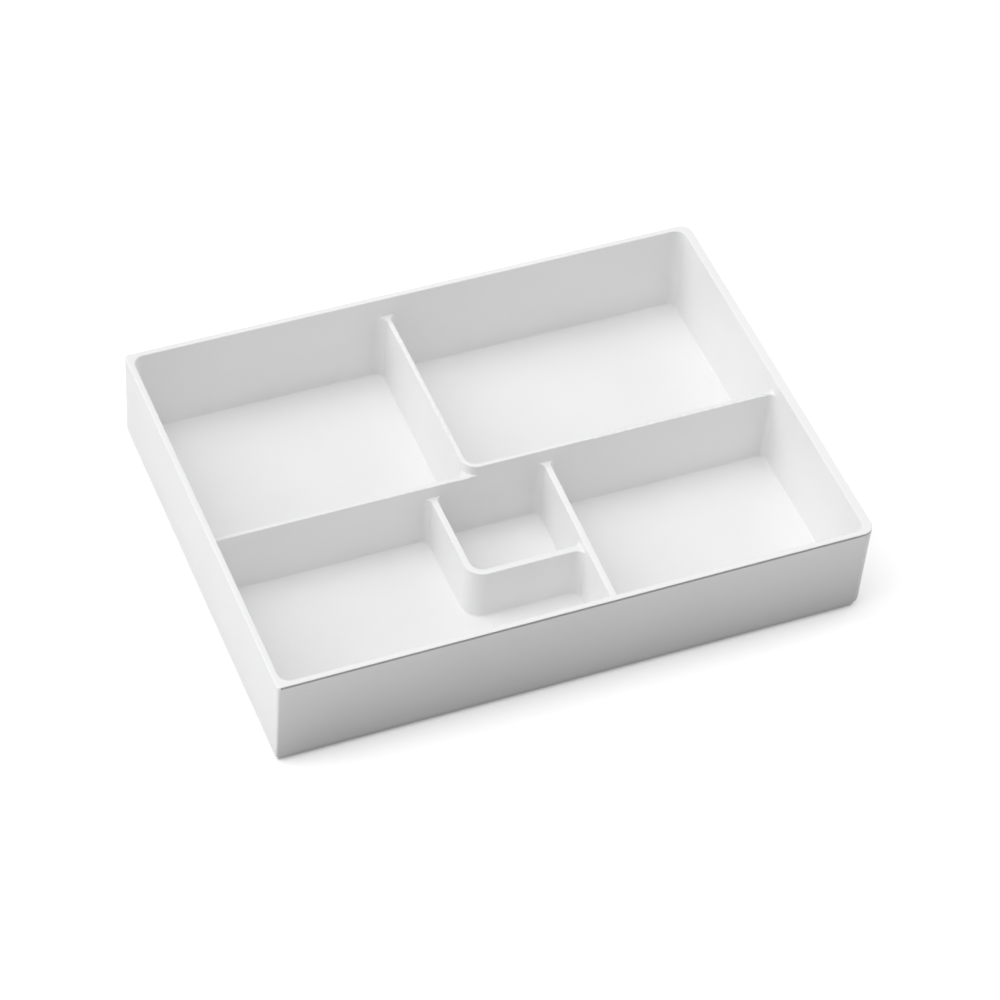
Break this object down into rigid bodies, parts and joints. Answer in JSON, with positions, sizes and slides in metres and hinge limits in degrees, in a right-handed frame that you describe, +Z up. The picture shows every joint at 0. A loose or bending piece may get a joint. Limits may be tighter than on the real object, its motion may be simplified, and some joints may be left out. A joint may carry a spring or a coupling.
{
  "type": "compartment tray",
  "caption": "Shallow moulded plastic cash tray, open on top and divided by stepped-height walls into straight, L-shaped and small compartments, standing on non-slip pads.",
  "frame": {"origin": "centre of the footprint, on the standing plane under the pads", "axes": "+X to the right along the long side, +Y to the rear, +Z up; the open side faces +Z and the front is -Y"},
  "size_m": [0.3, 0.2224, 0.054],
  "materials": {
    "shell": "white moulded ABS, satin with a faint fine texture",
    "pads": "dark grey non-slip rubber, matt"
  },
  "bodies": {
    "root": {"tray": "shell", "foot_pad_front_left": "pads", "foot_pad_front_right": "pads", "foot_pad_rear_left": "pads", "foot_pad_rear_right": "pads"}
  },
  "joints": []
}
